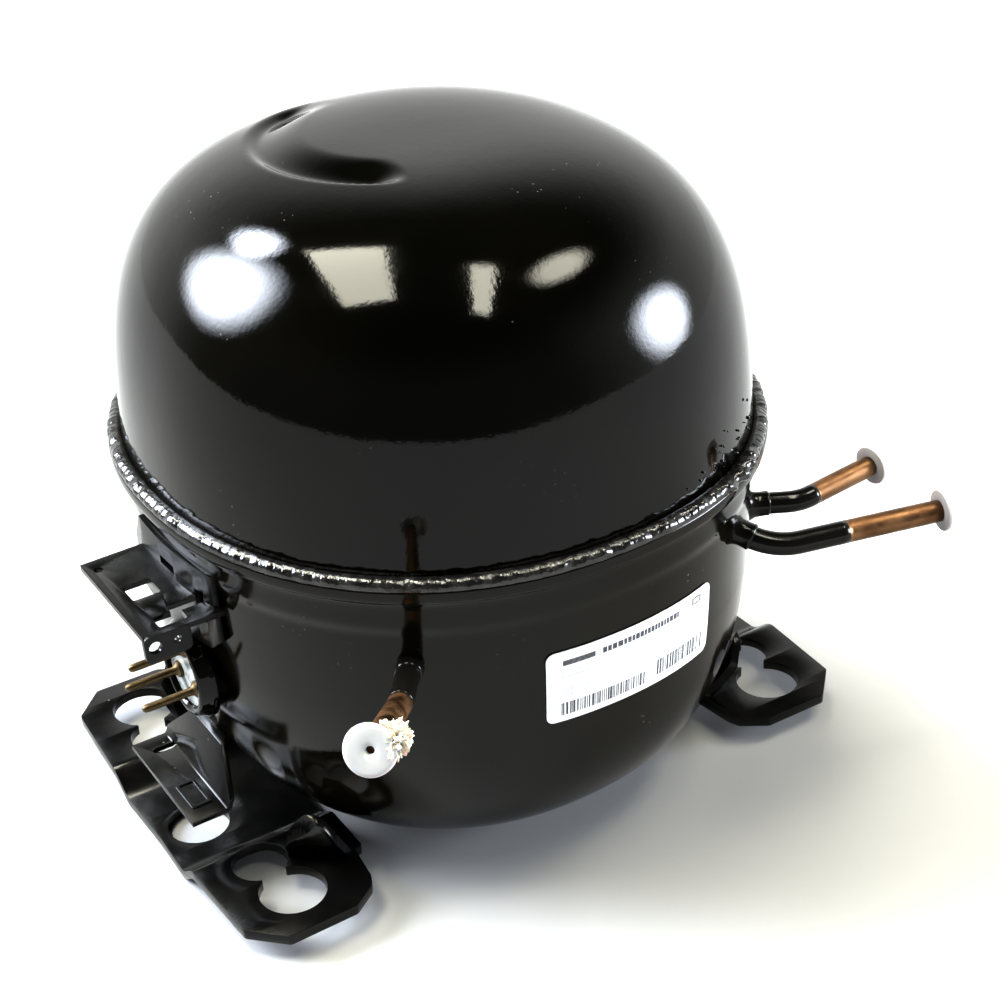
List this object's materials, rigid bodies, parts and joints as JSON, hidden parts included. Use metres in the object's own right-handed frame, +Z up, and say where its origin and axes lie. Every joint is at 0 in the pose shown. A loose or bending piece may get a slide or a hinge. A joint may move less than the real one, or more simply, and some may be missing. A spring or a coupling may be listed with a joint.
{
  "type": "hermetic reciprocating compressor",
  "caption": "Welded-shell refrigeration compressor: domed steel shell on two stamped foot plates, electrical terminal, copper stub pipes and a spring-hung piston pump with its motor inside.",
  "frame": {"origin": "centre of the grommet hole patterns, in the plane of the feet's underside", "axes": "+Z up through the dome; +X from the electrical terminal's side towards the side of the suction pipe; the process pipe is at the -Y front"},
  "size_m": [0.2271, 0.2162, 0.191],
  "materials": {
    "black_enamel": "gloss black baked enamel with slight orange peel",
    "weld_metal": "painted rippled weld bead",
    "glass_seal": "pale fused glass",
    "pin_metal": "dull bronze pins",
    "copper_pipe": "dull tarnished copper",
    "natural_plastic": "translucent natural polyethylene",
    "label_film": "satin film label",
    "lead_sleeve": "woven lead sleeving",
    "spring_steel": "oiled spring steel",
    "plain_steel": "oiled steel",
    "laminations": "stacked electrical steel",
    "copper_winding": "varnished winding wire",
    "grey_iron": "machined cast iron",
    "bearing_bronze": "bearing bronze",
    "gasket_sheet": "fibre gasket",
    "cast_aluminium": "as-cast aluminium"
  },
  "bodies": {
    "shell": {"upper_shell": "black_enamel", "lower_shell": "black_enamel", "weld_bead": "weld_metal", "base_plate_left": "black_enamel", "base_plate_right": "black_enamel", "terminal_guard_upper": "black_enamel", "terminal_guard_lower": "black_enamel", "terminal_cup": "black_enamel", "terminal_glass": "glass_seal", "terminal_pins": "pin_metal", "discharge_pipe": "copper_pipe", "suction_pipe": "copper_pipe", "process_pipe": "copper_pipe", "pipe_sleeves": "black_enamel", "rating_label": "label_film", "lead_connector": "natural_plastic", "motor_leads": "lead_sleeve", "spring_seats": "plain_steel", "suspension_springs": "spring_steel", "shock_loop": "copper_pipe"},
    "pump_unit": {"spring_caps": "natural_plastic", "stator_core": "laminations", "stator_windings": "copper_winding", "stator_bolts": "plain_steel", "crankcase": "grey_iron", "main_bearing_bush": "bearing_bronze", "thrust_washer": "plain_steel", "cylinder_gasket": "gasket_sheet", "valve_plate": "plain_steel", "head_gasket": "gasket_sheet", "cylinder_head": "cast_aluminium", "head_screws": "plain_steel", "suction_muffler": "natural_plastic", "discharge_muffler": "plain_steel"},
    "crank": {"crankshaft": "grey_iron", "rotor_core": "laminations", "rotor_end_rings": "cast_aluminium", "oil_pickup": "plain_steel"},
    "vent_cap": {"oil_vent_cap": "bearing_bronze"},
    "block": {"slide_block": "grey_iron"},
    "piston": {"piston_yoke": "grey_iron"},
    "suction_valve": {"suction_reed": "spring_steel"},
    "discharge_valve": {"discharge_reed": "spring_steel"},
    "discharge_cap": {"discharge_plug": "natural_plastic"},
    "suction_cap": {"suction_plug": "natural_plastic"},
    "process_cap": {"process_plug": "natural_plastic"}
  },
  "joints": [
    {"name": "suspension_float", "type": "slide", "parent": "shell", "child": "pump_unit", "axis": [0, 0, 1], "range_m": [-0.0025, 0.0025], "stiffness_N_per_m": 24000, "springref_m": 0.00206, "deforming": ["suspension_springs", "shock_loop", "motor_leads"]},
    {"name": "crank_spin", "type": "hinge", "parent": "pump_unit", "child": "crank", "pos_m": [0, 0, 0.06], "axis": [0, 0, 1], "continuous": true},
    {"name": "slide_block_turn", "type": "hinge", "parent": "crank", "child": "block", "pos_m": [0, 0.007, 0.109], "axis": [0, 0, 1], "continuous": true},
    {"name": "vent_cap_turn", "type": "hinge", "parent": "crank", "child": "vent_cap", "pos_m": [0, 0.0035, 0.117], "axis": [0, 0, 1], "continuous": true},
    {"name": "piston_travel", "type": "hinge", "parent": "vent_cap", "child": "piston", "pos_m": [0, 0.007, 0.109], "axis": [0, 0, 1], "continuous": true},
    {"name": "suction_reed_flex", "type": "hinge", "parent": "pump_unit", "child": "suction_valve", "pos_m": [-0.0055, 0.04837, 0.116], "axis": [1, 0, 0], "range_deg": [-3.5, 0], "stiffness_Nm_per_rad": 0.02},
    {"name": "discharge_reed_flex", "type": "hinge", "parent": "pump_unit", "child": "discharge_valve", "pos_m": [0.0055, 0.05163, 0.118], "axis": [1, 0, 0], "range_deg": [0, 6], "stiffness_Nm_per_rad": 0.03},
    {"name": "discharge_plug_pull", "type": "slide", "parent": "shell", "child": "discharge_cap", "axis": [0.9633, -0.2677, 0.0203], "range_m": [0, 0.012]},
    {"name": "suction_plug_pull", "type": "slide", "parent": "shell", "child": "suction_cap", "axis": [0.9971, 0.0534, 0.0534], "range_m": [0, 0.012]},
    {"name": "process_plug_pull", "type": "slide", "parent": "shell", "child": "process_cap", "axis": [-0.5732, -0.7227, 0.3863], "range_m": [0, 0.012]}
  ],
  "couplings": [
    {"joint": "slide_block_turn", "follows": "crank_spin", "ratio": -1},
    {"joint": "vent_cap_turn", "follows": "crank_spin", "ratio": -2},
    {"joint": "piston_travel", "follows": "crank_spin", "ratio": 1}
  ]
}
